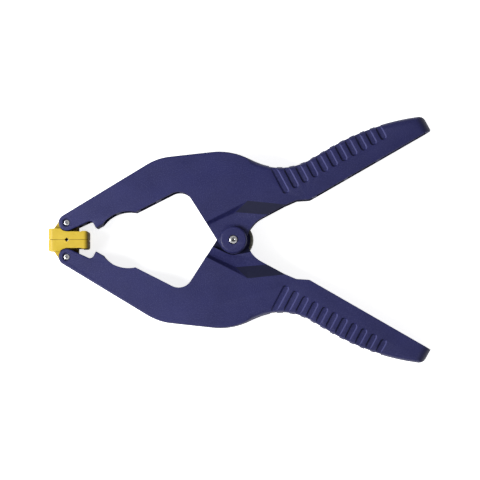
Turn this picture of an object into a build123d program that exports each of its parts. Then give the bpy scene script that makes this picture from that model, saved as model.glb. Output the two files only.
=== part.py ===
from build123d import *
from math import acos, atan2, cos, degrees, radians, sin, tan
import os

# Spring clamp lying on its side. The pivot axis is Z and the origin is on it, at the resting plane.
# The jaws point to -X and the handles to +X. One lever is drawn about the clamp's middle plane,
# and the other is the same moulding turned half a turn about X.

# ---- driving sizes, mm
HALF = 15.0              # half the thickness of the clamp
HUB_R = 8.5              # round end of each hub plate
OUTER_PLATE = (8.5, 11.0)
INNER_PLATE = (5.9, 8.3)
POCKET_R = 9.1           # pocket edge that clears the other lever's hub plate
SWEEP_R = 10.8           # room for the other lever's inner plate
SPRING_ROOM_R = 12.6
BOSS_R = 8.1
WASHER_R, WASHER_SHIFT = 9.2, 0.8   # widened inner plate that covers the coil's inner edge
BOSS_ROUND = 1.3
ARBOR_R = 7.35           # moulded spigot inside the coil
RIVET_R = 2.2
RIVET_HEAD_R = 2.5
DIMPLE_R = 1.1
RUN_GAP = 0.06           # radial play on the rivet and on the pad pins

WIRE_R = 1.3
COIL_R = 9.6
COIL_PITCH = 2.62
COIL_SHIFT = 0.85        # the legs push the coil against the jaw side of its spigot
LEG_ANGLE = 40.0
LEG_LENGTH = 47.0

SPINE = 3.2              # wall along the outer edge
CHANNEL_HALF = 10.0      # half width of the hollow between the side walls
FORK_HALF = 8.3          # half width of the slot that takes the pad's tongue
HUB_BLOCK_R = 27.0

PIN = (-100.1, 10.3)     # pad pin centre on the upper lever
TIP_R = 4.95
PIN_R = 1.9
PIN_HALF = 13.7
PIN_SINK_R = 2.65
STOCK_ARC = (-63.1, -2.3, 19.4)

GRIP_SLOTS = 11
GRIP_FIRST = (31.3, 29.6)
GRIP_STEP = (5.86, 3.22)
GRIP_ANGLE = 118.0
GRIP_WIDTH = 2.6         # at the floor of the slot
GRIP_DEPTH = 1.0
GRIP_SLOPE = 38.0

PAD_LEFT, PAD_RIGHT = -111.2, -87.2
PAD_FACE = 0.1
PAD_ROUND = 2.8
TONGUE_HALF = 8.0

# corners of the upper lever's outline with the radius of each: x, y, radius
OUTLINE = [
    (-45.65, 49.09, 32), (-2.56, 53.76, 39), (30.47, 39.40, 35), (81.85, 69.66, 140),
    (113.8, 74.15, 4.5), (118.3, 66.0, 0), (45.6, 24.15, 4), (37.8, 23.7, 3), (30.7, 20.66, 0),
    (10.19, 9.48, 17.1), (7.6, 0.0, 0), (0.0, -3.0, 0), (-29.74, 31.37, 8.5), (-62.0, 15.0, 0),
    (-76.5, 10.3, 0), (-82.55, 6.95, 0.4), (-85.1, 11.75, 2.3),
]
ROUND_JAW, ROUND_HANDLE, ROUND_END = 0.8, 3.4, 6.0
GROW_START, GROW_LENGTH = 10.8, 5.2


def touch(centre, radius, point, side):
    """Where a straight line from a point touches a circle, on the left (1) or right (-1) of the way there."""
    way = Vector(*point) - Vector(*centre)
    turn = degrees(acos(radius / way.length))
    spot = Vector(*centre) + way.normalized().rotate(Axis.Z, side * turn) * radius
    return (spot.X, spot.Y)


def lever_outline():
    """The corners, closed round the tip and the hub by lines that just touch both circles."""
    throat = touch((0, 0), HUB_R, OUTLINE[12][:2], 1)
    tip_low = touch(PIN, TIP_R, OUTLINE[-1][:2], -1)
    tip_high = touch(PIN, TIP_R, OUTLINE[0][:2], 1)
    corners = OUTLINE[:12] + [(*throat, 0)] + OUTLINE[12:] + [(*tip_low, 0), (*tip_high, 0)]
    face = rounded_face(corners) - Pos(*STOCK_ARC[:2]) * Circle(STOCK_ARC[2])
    return face + Pos(*PIN) * Circle(TIP_R) + Circle(HUB_R)


def rounded_face(corners):
    """Flat face whose straight sides are joined by an arc at each corner that has a radius."""
    stops = []
    for i, (x, y, r) in enumerate(corners):
        here = Vector(x, y)
        back = (Vector(*corners[i - 1][:2]) - here).normalized()
        ahead = (Vector(*corners[(i + 1) % len(corners)][:2]) - here).normalized()
        half = radians(back.get_angle(ahead)) / 2
        if r:
            reach = r / tan(half)
            middle = here + (back + ahead).normalized() * (r / sin(half) - r)
            stops.append((here + back * reach, middle, here + ahead * reach))
        else:
            stops.append((here, None, here))
    edges = []
    for (start, middle, end), (following, _, _) in zip(stops, stops[1:] + stops[:1]):
        if middle:
            edges.append(ThreePointArc(start, middle, end))
        edges.append(Line(end, following))
    return make_face(edges)


def slab(face, low, high):
    return extrude(Pos(0, 0, low) * face, high - low)


def both_sides(solid):
    return [solid, mirror(solid, Plane.XY)]


def box_between(x0, x1, y0, y1, z0, z1):
    return Pos((x0 + x1) / 2, (y0 + y1) / 2, (z0 + z1) / 2) * Box(x1 - x0, y1 - y0, z1 - z0)


def blank():
    """Solid lever with soft outer edges, before any hollow is cut. The soft edge grows on the straight
    run of the outer edge between the hump and the valley."""
    outline = lever_outline()
    prism = slab(outline, -HALF, HALF)
    run = Vector(*OUTLINE[2][:2]) - Vector(*OUTLINE[1][:2])
    slope = degrees(atan2(run.Y, run.X))
    start = Vector(*OUTLINE[1][:2]) + run.normalized() * GROW_START
    frame = Pos(start.X, start.Y) * Rot(0, 0, slope)
    jaw = prism & frame * box_between(-160, 0, -90, 90, -20, 20)
    handle = prism & frame * box_between(GROW_LENGTH, 160, -90, 150, -20, 20)
    neck = prism & frame * box_between(0, GROW_LENGTH, -90, -20, -20, 20)
    sections = []
    for at, radius in ((0, ROUND_JAW), (GROW_LENGTH, ROUND_HANDLE)):
        face = Plane.YZ.offset(at) * Pos(-10, 0) * Rectangle(20, 2 * HALF)
        sections.append(fillet(face.vertices().sort_by(Axis.Y)[-2:], radius))
    rim = frame * loft(sections, ruled=True)
    for z in (-HALF, HALF):
        crest = jaw.edges().filter_by_position(Axis.Z, z - 0.01, z + 0.01).sort_by_distance((-46, 47, z))[0]
        jaw = fillet(crest, ROUND_JAW)
    for z in (-HALF, HALF):
        back = handle.edges().filter_by_position(Axis.Z, z - 0.01, z + 0.01).sort_by_distance((80, 66, z))[0]
        handle = fillet(back, ROUND_HANDLE)
    tail = Vector(*OUTLINE[5][:2]) - Vector(*OUTLINE[4][:2])
    profile = Plane.XZ * Pos(-150, 0) * RectangleRounded(300, 2 * HALF, ROUND_END)
    turn = Rot(0, 0, degrees(atan2(tail.Y, tail.X)) + 90)
    handle &= Pos(*OUTLINE[5][:2]) * turn * extrude(profile, 90, both=True)
    return outline, jaw + neck + rim + handle


def hub_recess():
    """Steep step from the side face down to the hub, then a gentle slope to the hub plate's level."""
    top = Polyline((-22, 7.7), (9.0, 23.7), (36, 20.9), (36, -25), (-22, -25), close=True)
    foot = Polyline((-19, 7.0), (1.3, 16.5), (23.5, 14.8), (23.5, -25), (-19, -25), close=True)
    fold = Polyline((-16, 7.2), (1.3, 13.8), (18.0, 10.4), (18.0, -25), (-16, -25), close=True)
    foot = Pos(0, 0, OUTER_PLATE[1] + 0.6) * make_face(foot)
    steep = loft([Pos(0, 0, HALF + 0.2) * make_face(top), foot], ruled=True)
    gentle = loft([foot, Pos(0, 0, OUTER_PLATE[1]) * make_face(fold)], ruled=True)
    return steep + gentle


def pocket_face():
    """Area swept by the other lever's hub plate: two straight edges that touch one circle."""
    left, right = radians(115.3), radians(79.0)
    a = (POCKET_R * cos(left), POCKET_R * sin(left))
    b = (POCKET_R * cos(right), POCKET_R * sin(right))
    middle = radians(97.15)
    far_a = (a[0] - 22 * sin(left), a[1] + 22 * cos(left))
    far_b = (b[0] + 18 * sin(right), b[1] - 18 * cos(right))
    edges = [
        Line(far_a, a),
        ThreePointArc(a, (POCKET_R * cos(middle), POCKET_R * sin(middle)), b),
        Line(b, far_b),
        Line(far_b, (far_b[0], -30)),
        Line((far_b[0], -30), (far_a[0], -30)),
        Line((far_a[0], -30), far_a),
    ]
    return make_face(edges)


def leg_point(along, side):
    """Point beside the spring's upper leg: distance along it and distance from the coil's centre."""
    a = radians(LEG_ANGLE)
    return (COIL_SHIFT - side * sin(a) + along * cos(a), side * cos(a) + along * sin(a))


def channel_face(outline):
    """Hollow between the side walls, open towards the middle of the clamp, with ribs left across it."""
    core = offset(outline, -SPINE)
    hollow = core
    for dx, dy in ((1.75, -3.15), (3.5, -6.3), (-4.0, -2.5)):
        hollow += Pos(dx, dy) * core
    hollow -= Circle(HUB_BLOCK_R)
    hollow -= Pos(-95.5, 15) * Rectangle(13, 60)
    for x, width in ((-81.6, 5.4), (-69.5, 2.6), (-58.3, 3.4), (-45.5, 2.6), (-31.5, 2.6), (-8.0, 2.6)):
        hollow -= Pos(x, 30) * Rectangle(width, 90)
    for along in (54.0, 76.0, 98.0):
        spot = Pos(along * cos(radians(30)), along * sin(radians(30)) + 2)
        hollow -= spot * Rot(0, 0, 30) * Rectangle(2.6, 90)
    return hollow


def spring_seat():
    """Sloping block under the outer wall that the spring's leg pushes on."""
    a, b = leg_point(LEG_LENGTH - 14, COIL_R + WIRE_R + 0.15), leg_point(LEG_LENGTH, COIL_R + WIRE_R + 0.15)
    return make_face(Polyline(a, b, (b[0] + 2, 41.9), (a[0] - 6, 44.6), (a[0] - 3, a[1] + 4), close=True))


def grip_slots(width):
    """Round-ended slots side by side along the handle, square to it and open over its back."""
    slots = []
    for i in range(GRIP_SLOTS):
        spot = Pos(GRIP_FIRST[0] + i * GRIP_STEP[0], GRIP_FIRST[1] + i * GRIP_STEP[1]) * Rot(0, 0, GRIP_ANGLE)
        slots.append(spot * (Circle(width / 2) + Pos(12, 0) * Rectangle(24, width)))
    return slots


def lever():
    outline, body = blank()
    for cutter in both_sides(hub_recess()):
        body -= cutter

    # hub plate on the near side, pocket for the other lever's plate on the far side
    body -= slab(Circle(SWEEP_R), INNER_PLATE[0], OUTER_PLATE[0])
    body -= slab(pocket_face(), -20, -INNER_PLATE[1])

    # room for the coil and for the leg on its way to the handle
    body -= slab(Circle(SPRING_ROOM_R), -INNER_PLATE[0], INNER_PLATE[0])
    side = COIL_R + WIRE_R + 1.2
    way = make_face(Polyline(leg_point(0, side), leg_point(34, side), (34, 12), (0, 0), close=True))
    body -= slab(way, -INNER_PLATE[0], INNER_PLATE[0])

    body -= slab(channel_face(outline), -CHANNEL_HALF, CHANNEL_HALF)
    body -= box_between(-112, -91.5, 0, 30, -FORK_HALF, FORK_HALF)
    body += slab(spring_seat(), -CHANNEL_HALF - 0.5, CHANNEL_HALF + 0.5)

    # grip slots with sloping walls on both side faces, running out over the back of the handle
    skin = offset(outline, -0.45)
    for slot in grip_slots(GRIP_WIDTH):
        cut = extrude(Pos(0, 0, HALF - GRIP_DEPTH) * slot, GRIP_DEPTH + 0.2, taper=-GRIP_SLOPE)
        for cutter in both_sides(cut):
            body -= cutter
    for slot in grip_slots(GRIP_WIDTH + 1.2):
        body -= slab(slot - skin, -HALF, HALF)

    # near-side boss, far-side washer face, spigot inside the coil and the pivot hole
    boss = Pos(0, 0, (OUTER_PLATE[0] + HALF) / 2) * Cylinder(BOSS_R, HALF - OUTER_PLATE[0])
    body += fillet(boss.edges().sort_by(Axis.Z)[-1], BOSS_ROUND)
    body += slab(Pos(WASHER_SHIFT, 0) * Circle(WASHER_R), -INNER_PLATE[1], -INNER_PLATE[0])
    body += Pos(0, 0, -(INNER_PLATE[0] + 0.15 + 0.5) / 2) * Cylinder(ARBOR_R, INNER_PLATE[0] - 0.15 + 0.5)
    body -= Cylinder(RIVET_R + RUN_GAP, 40)
    body -= slab(Circle(RIVET_HEAD_R + 0.45), HALF - 1.3, HALF + 1)

    # pad pin hole with a sunk mouth on each side
    body -= Pos(*PIN) * Cylinder(PIN_R + 0.02, 40)
    for z in (-HALF, HALF):
        body -= Pos(PIN[0], PIN[1], z) * Cylinder(PIN_SINK_R, 3.0)
    return body


def pad():
    """Swivel pad of the upper jaw: a wide block with a narrower tongue between the fork's cheeks."""
    block = rounded_face([
        (PAD_LEFT, PAD_FACE, 0.5), (-101.35, PAD_FACE, 0), (-100.1, PAD_FACE + 1.25, 0),
        (-98.85, PAD_FACE, 0), (PAD_RIGHT, PAD_FACE, 0.5), (PAD_RIGHT, 5.3, 1.4), (-91.0, 5.3, 0),
        (-91.4, 4.95, 0),
        (-101.0, 4.95, 0), (-101.0, 6.8, 0), (PAD_LEFT, 6.8, 0.6),
    ])
    plan = RectangleRounded(PAD_RIGHT - PAD_LEFT, 2 * HALF, PAD_ROUND)
    plan = Plane.XZ * Pos((PAD_LEFT + PAD_RIGHT) / 2, 0) * plan
    wide = slab(block, -HALF, HALF) & extrude(plan, 20, both=True)
    wide -= Pos(*PIN) * Cylinder(TIP_R + 0.35, 40)
    side = Pos(*PIN) * Circle(4.7)
    side += make_face(Polyline((-108.1, 4.0), (-108.1, 7.0), (-103.99, 12.97), (-100.1, 10.3),
                               (-96.0, 12.6), (-93.6, 9.0), (-93.6, 4.0), close=True))
    body = wide + slab(side, -TONGUE_HALF, TONGUE_HALF)
    return body - Pos(*PIN) * Cylinder(PIN_R + RUN_GAP, 40)


def pad_pin():
    """Plain pin with rounded ends and a small dimple in each."""
    pin = Cylinder(PIN_R, 2 * PIN_HALF)
    pin = fillet(pin.edges().filter_by(GeomType.CIRCLE), 0.55)
    for z in (-1, 1):
        pin -= Pos(0, 0, z * (PIN_HALF + 0.45)) * Sphere(0.95)
    return Pos(*PIN) * pin


def rivet():
    """Solid rivet with a round head and a dimple at each end."""
    body = Cylinder(RIVET_R, 2 * (HALF - 1.0))
    for z in (-1, 1):
        head = Pos(0, 0, z * (HALF - 0.75)) * Cylinder(RIVET_HEAD_R, 0.7)
        body += fillet(head.edges().filter_by(GeomType.CIRCLE).sort_by(Axis.Z)[-1 if z > 0 else 0], 0.3)
    for z in (-1, 1):
        body -= Pos(0, 0, z * (HALF - 0.9)) * Cylinder(DIMPLE_R, 1.4)
    return body


def spring():
    """Torsion spring: the coil between the hub plates and one leg into each handle."""
    turns = 3 + (2 * (90 - LEG_ANGLE)) / 360
    rise = turns * COIL_PITCH
    coil = Helix(pitch=COIL_PITCH, height=rise, radius=COIL_R, lefthand=True)
    coil = Pos(COIL_SHIFT, 0, -rise / 2) * Rot(0, 0, 270 - LEG_ANGLE) * coil
    wire = sweep(Plane(origin=coil @ 0, z_dir=coil % 0) * Circle(WIRE_R), path=coil)
    for end in wire.faces().filter_by(GeomType.PLANE):
        centre = end.center()
        x, y = leg_point(LEG_LENGTH, COIL_R)
        way = Vector(x, y if centre.Z > 0 else -y, centre.Z) - centre
        wire += extrude(end, amount=way.length, dir=way)
    return wire


os.makedirs("parts", exist_ok=True)
upper = {"upper_lever": lever(), "upper_pad": pad(), "upper_pad_pin": pad_pin()}
parts = {"pivot_rivet": rivet(), "torsion_spring": spring()}
for name, shape in upper.items():
    parts[name] = shape
    parts[name.replace("upper", "lower")] = Rot(180, 0, 0) * shape
for name, shape in parts.items():
    export_step(Pos(0, 0, HALF) * shape, f"parts/{name}.step")
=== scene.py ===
from math import cos, pi, radians, sin, tan

import bmesh
import bpy
from mathutils import Matrix, Vector


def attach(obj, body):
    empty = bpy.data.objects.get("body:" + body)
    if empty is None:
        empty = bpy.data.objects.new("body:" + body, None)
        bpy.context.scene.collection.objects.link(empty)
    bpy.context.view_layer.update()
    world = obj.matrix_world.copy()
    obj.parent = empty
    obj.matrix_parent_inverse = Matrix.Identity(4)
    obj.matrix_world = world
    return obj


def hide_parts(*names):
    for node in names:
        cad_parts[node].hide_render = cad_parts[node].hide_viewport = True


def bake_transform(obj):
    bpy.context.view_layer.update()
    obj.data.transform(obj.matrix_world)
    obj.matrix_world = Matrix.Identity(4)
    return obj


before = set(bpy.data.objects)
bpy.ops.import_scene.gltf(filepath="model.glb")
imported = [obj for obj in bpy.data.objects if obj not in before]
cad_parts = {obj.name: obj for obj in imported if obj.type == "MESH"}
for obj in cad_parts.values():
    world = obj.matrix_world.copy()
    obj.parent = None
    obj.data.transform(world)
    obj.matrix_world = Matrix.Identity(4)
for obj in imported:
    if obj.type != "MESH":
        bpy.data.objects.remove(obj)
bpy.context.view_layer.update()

# ---- driving sizes, metres, in the frame of the clamp
MM = 0.001
THICK = 30 * MM
MIDDLE = THICK / 2
PIN_X, PIN_Y = -100.1 * MM, 10.3 * MM
PIN_R, PIN_HALF = 1.9 * MM, 13.7 * MM
WIRE = 1.3 * MM                 # radius of the wire
COIL = 9.6 * MM                 # radius of the coil, to the middle of the wire
COIL_PITCH = 2.62 * MM
COIL_SHIFT = 0.85 * MM
LEG_ANGLE = radians(40)
LEG_LENGTH = 47 * MM
HANDLE_LEAN = radians(28)       # a handle's direction, from X
GRIP_START, GRIP_END, END_START = 26 * MM, 100 * MM, 108 * MM
# heights from the middle plane: just past a hollow's ceiling, just past the floor of the hub's recess,
# and just short of the floor of the grip's slots
HOLLOW_LEVEL, RECESS_LEVEL, SLOT_LEVEL = 10.3 * MM, 11.05 * MM, 13.8 * MM


# ---- shader building
class Wire:
    """One socket of a node tree, with the sums that the finishes use."""

    def __init__(self, tree, socket):
        self.tree, self.socket = tree, socket

    def _sum(self, operation, first, second):
        node = self.tree.nodes.new("ShaderNodeMath")
        node.operation = operation
        for slot, value in zip(node.inputs, (first, second)):
            plug(self.tree, slot, value)
        return Wire(self.tree, node.outputs[0])

    def __add__(self, other):
        return self._sum("ADD", self, other)

    def __radd__(self, other):
        return self._sum("ADD", other, self)

    def __mul__(self, other):
        return self._sum("MULTIPLY", self, other)

    def __rmul__(self, other):
        return self._sum("MULTIPLY", other, self)


def plug(tree, slot, value):
    if isinstance(value, Wire):
        tree.links.new(value.socket, slot)
    elif isinstance(value, tuple) and slot.type == "RGBA" and len(value) == 3:
        slot.default_value = (*value, 1)
    else:
        slot.default_value = value


class Finish:
    """A material with one surface shader."""

    def __init__(self, name, **constants):
        self.material = bpy.data.materials.new(name)
        self.material.use_nodes = True
        self.tree = self.material.node_tree
        self.surface = self.tree.nodes["Principled BSDF"]
        self.set(**constants)

    def set(self, **values):
        for key, value in values.items():
            plug(self.tree, self.surface.inputs[key.replace("_", " ")], value)

    def add(self, kind, settings=None, values=None, out=0):
        """A node of that type: its settings first, then its sockets, by name or number."""
        node = self.tree.nodes.new("ShaderNode" + kind)
        for key, value in (settings or {}).items():
            setattr(node, key, value)
        for key, value in (values or {}).items():
            plug(self.tree, node.inputs[key], value)
        return Wire(self.tree, node.outputs[out])

    def place(self):
        return self.add("TexCoord", out="Object")

    def noise(self, scale, detail=2.0, roughness=0.5, where=None):
        return self.add("TexNoise", values={"Vector": where or self.place(), "Scale": scale, "Detail": detail,
                                            "Roughness": roughness})

    def between(self, share, low, high):
        """Map a share from low..high to 0..1."""
        return self.add("MapRange", values={"Value": share, "From Min": low, "From Max": high})

    def blend(self, share, first, second):
        return self.add("Mix", {"data_type": "RGBA"}, {0: share, 6: first, 7: second}, out=2)

    def bump(self, height, depth, strength=1.0):
        return self.add("Bump", values={"Height": height, "Distance": depth, "Strength": strength})


def moulded_blue():
    """Deep blue nylon from a spark-eroded mould: fine grain, a little mottling, smoother in patches."""
    f = Finish("lever_plastic", IOR=1.5, Specular_IOR_Level=0.24)
    mottle = f.noise(38, 3, 0.6)
    speck = f.noise(1700, 2, 0.7)
    rub = f.noise(90, 4, 0.65)
    body = f.blend(f.between(mottle, 0.3, 0.7), (0.0096, 0.0104, 0.058), (0.0132, 0.0142, 0.074))
    body = f.blend(f.between(speck, 0.48, 0.70) * 0.5, body, (0.040, 0.042, 0.130))
    painted_shade = f.add("Attribute", {"attribute_name": "painted_shade"}, out="Fac")
    painted_highlight = f.add("Attribute", {"attribute_name": "painted_highlight"}, out="Fac")
    matt_and_painted_shade = f.add("Attribute", {"attribute_name": "matt_and_painted_shade"}, out="Fac")
    # painted shade: the steep facets beside the hub, the insides, the slot walls facing the handle's end and
    # the rounded end are darkened
    body = f.blend(painted_shade * 0.85, body, (0.0045, 0.0055, 0.019))
    # edge walls and insides: matt, and darkened by a lighter painted shade
    body = f.blend(matt_and_painted_shade * 0.40, body, (0.0045, 0.0050, 0.024))
    # painted highlight: the slot walls facing the jaws are lightened
    body = f.blend(painted_highlight * 0.8, body, (0.060, 0.062, 0.175))
    rough = 0.36 + f.between(rub, 0.35, 0.7) * 0.08 + speck * 0.08 + painted_shade * 0.15 + matt_and_painted_shade * 0.45
    f.set(Base_Color=body, Roughness=rough)
    grain = f.noise(2600, 1, 0.5) * 0.6 + f.noise(1150, 2, 0.6)
    f.set(Normal=f.bump(grain, 0.00012, 0.75))
    return f.material


def moulded_yellow():
    """Yellow pad plastic: smooth, faintly blotched, with handling dirt in broad clouds."""
    f = Finish("pad_plastic", IOR=1.48, Specular_IOR_Level=0.3)
    blotch = f.noise(120, 4, 0.6)
    dirt = f.noise(320, 5, 0.7)
    body = f.blend(f.between(blotch, 0.3, 0.7), (0.380, 0.265, 0.014), (0.425, 0.303, 0.024))
    body = f.blend(f.between(dirt, 0.62, 0.8) * 0.22, body, (0.27, 0.17, 0.012))
    # painted shade: the tongue, fading in past the pin, and the end facing the throat are darkened to dark
    # brown
    reach = f.add("SeparateXYZ", values={0: f.place()})
    tongue = f.add("Attribute", {"attribute_name": "tongue"}, out="Fac") * f.between(reach, -0.0985, -0.0955)
    throat_end = f.add("Attribute", {"attribute_name": "pad_painted_shade"}, out="Fac")
    pad_painted_shade = f.add("Math", {"operation": "MAXIMUM"}, {0: tongue, 1: throat_end})
    body = f.blend(pad_painted_shade, body, (0.040, 0.018, 0.002))
    f.set(Base_Color=body, Roughness=0.40 + blotch * 0.14 + pad_painted_shade * 0.4)
    f.set(Normal=f.bump(f.noise(700, 3, 0.6), 0.00008, 0.4))
    return f.material


def steel(name, shade, tarnish, rough):
    """Turned steel: fine scratch grain, with tarnish in small clouds."""
    f = Finish(name, Metallic=1.0)
    cloud = f.noise(420, 4, 0.6)
    scratch = f.noise(2400, 2, 0.8)
    body = f.blend(f.between(cloud, 0.42, 0.72), shade, tarnish)
    # painted shade: the faces inside the dimples are darkened
    dimple = f.add("Attribute", {"attribute_name": "dimple"}, out="Fac")
    f.set(Base_Color=f.blend(dimple * 0.85, body, (0.05, 0.05, 0.05)))
    f.set(Roughness=rough + cloud * 0.14 + scratch * 0.06)
    f.set(Normal=f.bump(scratch, 0.00003, 0.5))
    return f.material


# ---- pieces
def new_piece(name, mesh, material, smooth_angle=30):
    obj = bpy.data.objects.new(name, mesh)
    bpy.context.scene.collection.objects.link(obj)
    mesh.materials.clear()
    mesh.materials.append(material)
    mesh.shade_smooth()
    mesh.set_sharp_from_angle(angle=radians(smooth_angle))
    return obj


def mark_lever(bm):
    """Mark where a lever's plastic looks other than on its side faces. Painted shade darkens the steep facets
    beside the hub, the rounded end, the insides and the slot walls that face the handle's end; the insides and
    the edge walls are matt, and the edge walls carry a lighter painted shade; a painted highlight pales the
    slot walls facing the jaws."""
    painted_shade, painted_highlight, matt_and_painted_shade = (bm.faces.layers.float.new(name) for name in ("painted_shade", "painted_highlight", "matt_and_painted_shade"))
    for face in bm.faces:
        spot, out = face.calc_center_median(), face.normal
        level = abs(spot.z - MIDDLE)
        by_hub = 2 * MM < spot.x < 38 * MM and abs(spot.y) < 26 * MM and spot.xy.length > 9 * MM
        in_slots = GRIP_START < spot.x < GRIP_END and level > SLOT_LEVEL
        across = out.y if spot.y > 0 else -out.y
        along = out.x * cos(HANDLE_LEAN) + across * sin(HANDLE_LEAN)
        if by_hub and level > RECESS_LEVEL and 0.3 < abs(out.z) < 0.96 and out.x < 0.02:
            face[painted_shade] = 1
        elif level < HOLLOW_LEVEL and spot.x < GRIP_END and abs(out.z) > 0.9:
            face[painted_shade] = face[matt_and_painted_shade] = 1
        # slot walls facing the handle's end get painted shade, those facing the jaws a painted highlight
        elif in_slots and along > 0.4:
            face[painted_shade] = 0.9
        elif in_slots and along < -0.4:
            face[painted_highlight] = 1
        # rounded end: painted shade, stronger the more a face turns to the handle's end
        elif spot.x > END_START and along > 0.1 and abs(out.z) > 0.2:
            face[painted_shade] = 0.8 * along
        # edge walls: matt, with a lighter painted shade
        elif abs(out.z) < 0.3:
            face[matt_and_painted_shade] = 1


def mark_pad(bm):
    """Mark where the pads get painted shade: the tongue, and the end that faces the throat."""
    pad_painted_shade, tongue = (bm.faces.layers.float.new(name) for name in ("pad_painted_shade", "tongue"))
    for face in bm.faces:
        spot = face.calc_center_median()
        if abs(spot.z - MIDDLE) < 8.2 * MM and abs(spot.y) > 4.9 * MM:
            face[tongue] = 0.93
        # the end facing the throat: painted shade, stronger the more a face turns to +X
        face[pad_painted_shade] = max(0, face.normal.x) ** 1.5 * 0.85


def softened(node, name, body, slot, material, width, segments=3):
    """The CAD node's shape with every sharp edge rounded, as it leaves the mould."""
    bm = bmesh.new()
    bm.from_mesh(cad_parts[node].data)
    bmesh.ops.remove_doubles(bm, verts=bm.verts, dist=0.002 * MM)
    bmesh.ops.dissolve_limit(bm, angle_limit=radians(1.0), verts=bm.verts, edges=bm.edges)
    (mark_lever if slot == "lever_plastic" else mark_pad)(bm)
    mesh = bpy.data.meshes.new(name)
    bm.to_mesh(mesh)
    bm.free()
    obj = new_piece(name, mesh, material, 32)
    bevel = obj.modifiers.new("soft_edges", "BEVEL")
    bevel.width = width
    bevel.segments = segments
    bevel.limit_method = "ANGLE"
    bevel.angle_limit = radians(32)
    bevel.harden_normals = True
    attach(obj, body)
    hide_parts(node)
    return obj


def turned(name, profile, centre, material, dimple_r, steps=64):
    """A piece turned on a lathe: the profile is radius and height pairs, from the axis and back to it."""
    bm = bmesh.new()
    corners = [bm.verts.new((r, 0, z)) for r, z in profile]
    edges = [bm.edges.new(pair) for pair in zip(corners, corners[1:])]
    bmesh.ops.spin(bm, geom=corners + edges, cent=(0, 0, 0), axis=(0, 0, 1), angle=2 * pi, steps=steps,
                   use_merge=True)
    bmesh.ops.remove_doubles(bm, verts=bm.verts, dist=0.001 * MM)
    bmesh.ops.recalc_face_normals(bm, faces=bm.faces)
    dimple = bm.faces.layers.float.new("dimple")
    for face in bm.faces:
        if face.calc_center_median().xy.length < dimple_r:
            face[dimple] = 1
    bmesh.ops.translate(bm, verts=bm.verts, vec=centre)
    mesh = bpy.data.meshes.new(name)
    bm.to_mesh(mesh)
    bm.free()
    return new_piece(name, mesh, material, 40)


def pin_profile(radius, half, edge, dimple_r, dimple):
    """Half section of a pin with rounded ends and a bowl-shaped dimple in each."""
    bowl = [(dimple_r * share, half - dimple * (1 - share ** 2)) for share in (0, 0.35, 0.65, 0.85, 1)]
    turns = [radians(angle) for angle in (0, 22, 45, 68, 90)]
    rim = [(radius - edge * (1 - sin(a)), half - edge * (1 - cos(a))) for a in turns]
    return bowl + rim + [(r, -z) for r, z in reversed(bowl + rim)]


def coil_spring(material):
    """The wire: a ring swept round the pivot for the coil, then drawn out straight for each leg."""
    turns = 3 + 2 * (pi / 2 - LEG_ANGLE) / (2 * pi)
    rise = turns * COIL_PITCH
    steps = 150
    start = -(pi / 2 + LEG_ANGLE)
    bm = bmesh.new()
    lean = Matrix.Rotation(pi / 2, 4, "X")
    bmesh.ops.create_circle(bm, segments=20, radius=WIRE, matrix=Matrix.Translation((COIL, 0, 0)) @ lean)
    bmesh.ops.rotate(bm, verts=bm.verts, cent=(0, 0, 0), matrix=Matrix.Rotation(start, 3, "Z"))
    bmesh.ops.translate(bm, verts=bm.verts, vec=(0, 0, MIDDLE - rise / 2))
    first = list(bm.edges)
    swept = bmesh.ops.spin(bm, geom=list(bm.verts) + first, cent=(0, 0, 0), axis=(0, 0, -1),
                           dvec=(0, 0, rise / steps), angle=turns * 2 * pi, steps=steps)
    last = [e for e in swept["geom_last"] if isinstance(e, bmesh.types.BMEdge)]
    for loop, sign in ((first, -1), (last, 1)):
        way = Vector((cos(LEG_ANGLE), sign * sin(LEG_ANGLE), 0))
        for step in (LEG_LENGTH / 2, LEG_LENGTH / 2 - 0.3 * MM):
            drawn = bmesh.ops.extrude_edge_only(bm, edges=loop)["geom"]
            tip = [v for v in drawn if isinstance(v, bmesh.types.BMVert)]
            bmesh.ops.translate(bm, verts=tip, vec=way * step)
            loop = [e for e in drawn if isinstance(e, bmesh.types.BMEdge) and all(v in tip for v in e.verts)]
        middle = sum((v.co for v in tip), Vector()) / len(tip)
        drawn = bmesh.ops.extrude_edge_only(bm, edges=loop)["geom"]
        tip = [v for v in drawn if isinstance(v, bmesh.types.BMVert)]
        for v in tip:
            v.co = middle + (v.co - middle) * 0.8 + way * 0.3 * MM
        loop = [e for e in drawn if isinstance(e, bmesh.types.BMEdge) and all(v in tip for v in e.verts)]
        bmesh.ops.contextual_create(bm, geom=loop)
    bmesh.ops.remove_doubles(bm, verts=bm.verts, dist=0.001 * MM)
    bmesh.ops.recalc_face_normals(bm, faces=bm.faces)
    bmesh.ops.translate(bm, verts=bm.verts, vec=(COIL_SHIFT, 0, 0))
    mesh = bpy.data.meshes.new("spring_wire")
    bm.to_mesh(mesh)
    bm.free()
    return new_piece("spring_wire", mesh, material, 50)


blue = moulded_blue()
yellow = moulded_yellow()
bright = steel("bright_steel", (0.72, 0.72, 0.74), (0.50, 0.50, 0.50), 0.16)
dark_wire = steel("spring_steel", (0.13, 0.128, 0.11), (0.055, 0.052, 0.042), 0.34)

for side, sign in (("upper", 1), ("lower", -1)):
    softened(f"{side}_lever", f"{side}_lever_moulding", f"{side}_lever", "lever_plastic", blue, 0.35 * MM)
    softened(f"{side}_pad", f"{side}_pad_moulding", f"{side}_pad", "pad_plastic", yellow, 0.45 * MM)
    section = pin_profile(PIN_R, PIN_HALF, edge=0.55 * MM, dimple_r=0.84 * MM, dimple=0.5 * MM)
    pin = turned(f"{side}_pad_pin_turned", section, (PIN_X, sign * PIN_Y, MIDDLE), bright, dimple_r=0.6 * MM)
    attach(pin, f"{side}_lever")
    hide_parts(f"{side}_pad_pin")

wire = coil_spring(dark_wire)
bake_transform(wire)
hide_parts("torsion_spring")

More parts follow.
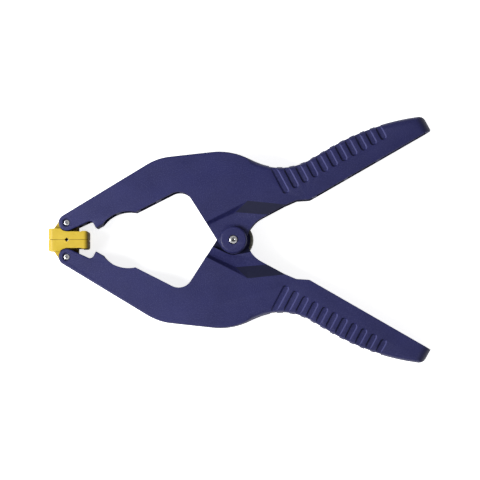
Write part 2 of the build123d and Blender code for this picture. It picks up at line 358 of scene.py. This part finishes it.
head_r, shank_r, dimple_r, head, reach, lip = 2.5 * MM, 2.2 * MM, 1.1 * MM, 0.7 * MM, 14.6 * MM, 0.3 * MM
half_profile = [(0, reach - 1.2 * MM), (dimple_r - lip, reach - 1.15 * MM), (dimple_r, reach - 0.9 * MM),
                (dimple_r, reach - 0.8 * lip), (dimple_r + 0.6 * lip, reach), (head_r - 2 * lip, reach),
                (head_r - 0.9 * lip, reach - 0.15 * lip), (head_r - 0.25 * lip, reach - 0.6 * lip),
                (head_r, reach - 1.3 * lip), (head_r, reach - head), (shank_r, reach - head)]
rivet = turned("dimpled_rivet", half_profile + [(r, -z) for r, z in reversed(half_profile)],
               (0, 0, MIDDLE), bright, dimple_r=1.0 * MM)
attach(rivet, "lower_lever")
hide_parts("pivot_rivet")


# ---- floor, light and camera
def floor():
    mesh = bpy.data.meshes.new("floor")
    bm = bmesh.new()
    bmesh.ops.create_grid(bm, x_segments=1, y_segments=1, size=3.0)
    bm.to_mesh(mesh)
    bm.free()
    pale = Finish("pale_floor", Roughness=0.9, Base_Color=(0.93, 0.93, 0.93), Emission_Color=(1, 1, 1),
                  Emission_Strength=0.78)
    ground = new_piece("floor", mesh, pale.material)


def soft_light(name, place, size, watts, target=(0, 0, 0)):
    data = bpy.data.lights.new(name, "AREA")
    data.shape = "DISK"
    data.size = size
    data.energy = watts
    obj = bpy.data.objects.new(name, data)
    bpy.context.scene.collection.objects.link(obj)
    obj.location = place
    obj.rotation_euler = (Vector(target) - Vector(place)).to_track_quat("-Z", "Y").to_euler()


floor()
soft_light("main_light", (-0.43, -0.08, 0.47), 0.30, 5.6)
soft_light("fill_light", (0.2, -0.9, 1.4), 1.2, 4)
world = bpy.data.worlds.new("studio")
world.use_nodes = True
world.node_tree.nodes["Background"].inputs["Color"].default_value = (1, 1, 1, 1)
world.node_tree.nodes["Background"].inputs["Strength"].default_value = 0.38
bpy.context.scene.world = world
bpy.context.scene.view_settings.view_transform = "Standard"

AIM = Vector((4.0 * MM, -0.3 * MM, THICK))
FAR = 3.5
SEEN_WIDTH = 288 * MM
TILT_X, TILT_Y = radians(1.3), radians(-1.7)
camera_data = bpy.data.cameras.new("camera")
camera_data.lens = camera_data.sensor_width / 2 * FAR / (SEEN_WIDTH / 2)
camera_data.clip_end = 20
camera = bpy.data.objects.new("camera", camera_data)
bpy.context.scene.collection.objects.link(camera)
back = Vector((tan(TILT_X), tan(TILT_Y), 1)).normalized()
right = Vector((0, 1, 0)).cross(back).normalized()
facing = Matrix((right, back.cross(right), back)).transposed()
camera.matrix_world = Matrix.LocRotScale(AIM + back * FAR, facing, None)
bpy.context.scene.camera = camera
